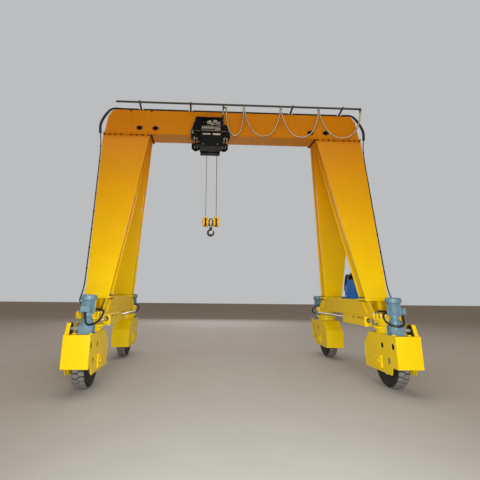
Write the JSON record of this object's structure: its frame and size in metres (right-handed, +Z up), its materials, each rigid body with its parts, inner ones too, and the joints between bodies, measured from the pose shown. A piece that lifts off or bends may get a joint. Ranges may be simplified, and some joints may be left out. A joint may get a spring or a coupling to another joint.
{
  "type": "rubber tyred gantry crane",
  "caption": "Small yellow rubber tyred gantry crane: box girder on four splayed legs, steered wheel boxes with gear motors, a low-headroom rope hoist, hook block and cable festoon.",
  "frame": {"origin": "on the ground, midway between the four wheels, under the middle of the girder", "axes": "+X along the girder to the right seen from the cabinet side, +Y to the rear, +Z up"},
  "size_m": [7.406, 5.148, 6.922],
  "materials": {
    "crane_yellow": "satin",
    "dark_paint": "satin",
    "motor_blue": "satin",
    "tank_blue": "gloss",
    "galvanised": "dull",
    "bare_steel": "machined",
    "rope_steel": "greased",
    "hook_black": "satin",
    "rim_paint": "satin",
    "tyre_rubber": "matt",
    "cable_rubber": "matt",
    "festoon_rubber": "matt"
  },
  "bodies": {
    "structure": {"girder": "crane_yellow", "leg_left_front": "crane_yellow", "leg_left_rear": "crane_yellow", "leg_right_front": "crane_yellow", "leg_right_rear": "crane_yellow", "sill_beam_left": "crane_yellow", "sill_beam_right": "crane_yellow", "pedestal_left_front": "crane_yellow", "pedestal_left_rear": "crane_yellow", "pedestal_right_front": "crane_yellow", "pedestal_right_rear": "crane_yellow", "steering_cylinder_left": "crane_yellow", "steering_cylinder_right": "crane_yellow", "hydraulic_tank": "tank_blue", "pump_motor": "dark_paint", "festoon_rail": "galvanised", "power_cable": "cable_rubber", "festoon_loop_1": "festoon_rubber", "festoon_loop_2": "festoon_rubber", "festoon_loop_3": "festoon_rubber", "festoon_loop_4": "festoon_rubber", "motor_cable_left_front": "cable_rubber", "motor_cable_left_rear": "cable_rubber", "motor_cable_right_front": "cable_rubber", "motor_cable_right_rear": "cable_rubber"},
    "bogie_left_front": {"wheel_box_left_front": "crane_yellow", "gear_motor_left_front": "motor_blue"},
    "wheel_left_front": {"tyre_left_front": "tyre_rubber", "rim_left_front": "rim_paint"},
    "rod_left_front": {"steering_rod_left_front": "bare_steel"},
    "bogie_left_rear": {"wheel_box_left_rear": "crane_yellow", "gear_motor_left_rear": "motor_blue"},
    "wheel_left_rear": {"tyre_left_rear": "tyre_rubber", "rim_left_rear": "rim_paint"},
    "rod_left_rear": {"steering_rod_left_rear": "bare_steel"},
    "bogie_right_front": {"wheel_box_right_front": "crane_yellow", "gear_motor_right_front": "motor_blue"},
    "wheel_right_front": {"tyre_right_front": "tyre_rubber", "rim_right_front": "rim_paint"},
    "rod_right_front": {"steering_rod_right_front": "bare_steel"},
    "bogie_right_rear": {"wheel_box_right_rear": "crane_yellow", "gear_motor_right_rear": "motor_blue"},
    "wheel_right_rear": {"tyre_right_rear": "tyre_rubber", "rim_right_rear": "rim_paint"},
    "rod_right_rear": {"steering_rod_right_rear": "bare_steel"},
    "trolley": {"trolley_frame": "dark_paint", "trolley_wheels": "bare_steel", "electric_cabinet": "dark_paint", "rope_drum": "dark_paint", "tow_arm": "dark_paint", "hoist_ropes": "rope_steel"},
    "block": {"hook_block": "crane_yellow"},
    "hook_body": {"hook": "hook_black"},
    "carrier_1": {"festoon_carrier_1": "galvanised"},
    "carrier_2": {"festoon_carrier_2": "galvanised"},
    "carrier_3": {"festoon_carrier_3": "galvanised"}
  },
  "joints": [
    {"name": "steer_left_front", "type": "hinge", "parent": "structure", "child": "bogie_left_front", "pos_m": [-3.05, -1.85, 1.155], "axis": [0, 0, 1], "range_deg": [-20, 20], "deforming": ["motor_cable_left_front"]},
    {"name": "roll_left_front", "type": "hinge", "parent": "bogie_left_front", "child": "wheel_left_front", "pos_m": [-3.05, -1.85, 0.509], "axis": [1, 0, 0], "continuous": true},
    {"name": "stroke_left_front", "type": "slide", "parent": "structure", "child": "rod_left_front", "axis": [0, 1, 0], "range_m": [-0.09, 0.09]},
    {"name": "steer_left_rear", "type": "hinge", "parent": "structure", "child": "bogie_left_rear", "pos_m": [-3.05, 1.85, 1.155], "axis": [0, 0, 1], "range_deg": [-20, 20], "deforming": ["motor_cable_left_rear"]},
    {"name": "roll_left_rear", "type": "hinge", "parent": "bogie_left_rear", "child": "wheel_left_rear", "pos_m": [-3.05, 1.85, 0.509], "axis": [1, 0, 0], "continuous": true},
    {"name": "stroke_left_rear", "type": "slide", "parent": "structure", "child": "rod_left_rear", "axis": [0, 1, 0], "range_m": [-0.09, 0.09]},
    {"name": "steer_right_front", "type": "hinge", "parent": "structure", "child": "bogie_right_front", "pos_m": [3.05, -1.85, 1.155], "axis": [0, 0, 1], "range_deg": [-20, 20], "deforming": ["motor_cable_right_front"]},
    {"name": "roll_right_front", "type": "hinge", "parent": "bogie_right_front", "child": "wheel_right_front", "pos_m": [3.05, -1.85, 0.509], "axis": [1, 0, 0], "continuous": true},
    {"name": "stroke_right_front", "type": "slide", "parent": "structure", "child": "rod_right_front", "axis": [0, 1, 0], "range_m": [-0.09, 0.09]},
    {"name": "steer_right_rear", "type": "hinge", "parent": "structure", "child": "bogie_right_rear", "pos_m": [3.05, 1.85, 1.155], "axis": [0, 0, 1], "range_deg": [-20, 20], "deforming": ["motor_cable_right_rear"]},
    {"name": "roll_right_rear", "type": "hinge", "parent": "bogie_right_rear", "child": "wheel_right_rear", "pos_m": [3.05, 1.85, 0.509], "axis": [1, 0, 0], "continuous": true},
    {"name": "stroke_right_rear", "type": "slide", "parent": "structure", "child": "rod_right_rear", "axis": [0, 1, 0], "range_m": [-0.09, 0.09]},
    {"name": "travel", "type": "slide", "parent": "structure", "child": "trolley", "axis": [1, 0, 0], "range_m": [-0.95, 2.25], "deforming": ["festoon_loop_1", "festoon_loop_2", "festoon_loop_3", "festoon_loop_4"]},
    {"name": "hoist", "type": "slide", "parent": "trolley", "child": "block", "axis": [0, 0, 1], "range_m": [-3.1, 1.3], "deforming": ["hoist_ropes"]},
    {"name": "hook_swivel", "type": "hinge", "parent": "block", "child": "hook_body", "pos_m": [-0.6, 0, 3.6], "axis": [0, 0, 1], "continuous": true},
    {"name": "shift_1", "type": "slide", "parent": "structure", "child": "carrier_1", "axis": [1, 0, 0], "range_m": [-0.818, 1.922]},
    {"name": "shift_2", "type": "slide", "parent": "structure", "child": "carrier_2", "axis": [1, 0, 0], "range_m": [-0.58, 1.36]},
    {"name": "shift_3", "type": "slide", "parent": "structure", "child": "carrier_3", "axis": [1, 0, 0], "range_m": [-0.314, 0.73]}
  ],
  "couplings": [
    {"joint": "stroke_left_front", "follows": "steer_left_front", "m_per_rad": 0.25},
    {"joint": "stroke_left_rear", "follows": "steer_left_rear", "m_per_rad": 0.25},
    {"joint": "stroke_right_front", "follows": "steer_right_front", "m_per_rad": -0.25},
    {"joint": "stroke_right_rear", "follows": "steer_right_rear", "m_per_rad": -0.25},
    {"joint": "shift_1", "follows": "travel", "ratio": 0.85},
    {"joint": "shift_2", "follows": "travel", "ratio": 0.6},
    {"joint": "shift_3", "follows": "travel", "ratio": 0.32}
  ]
}
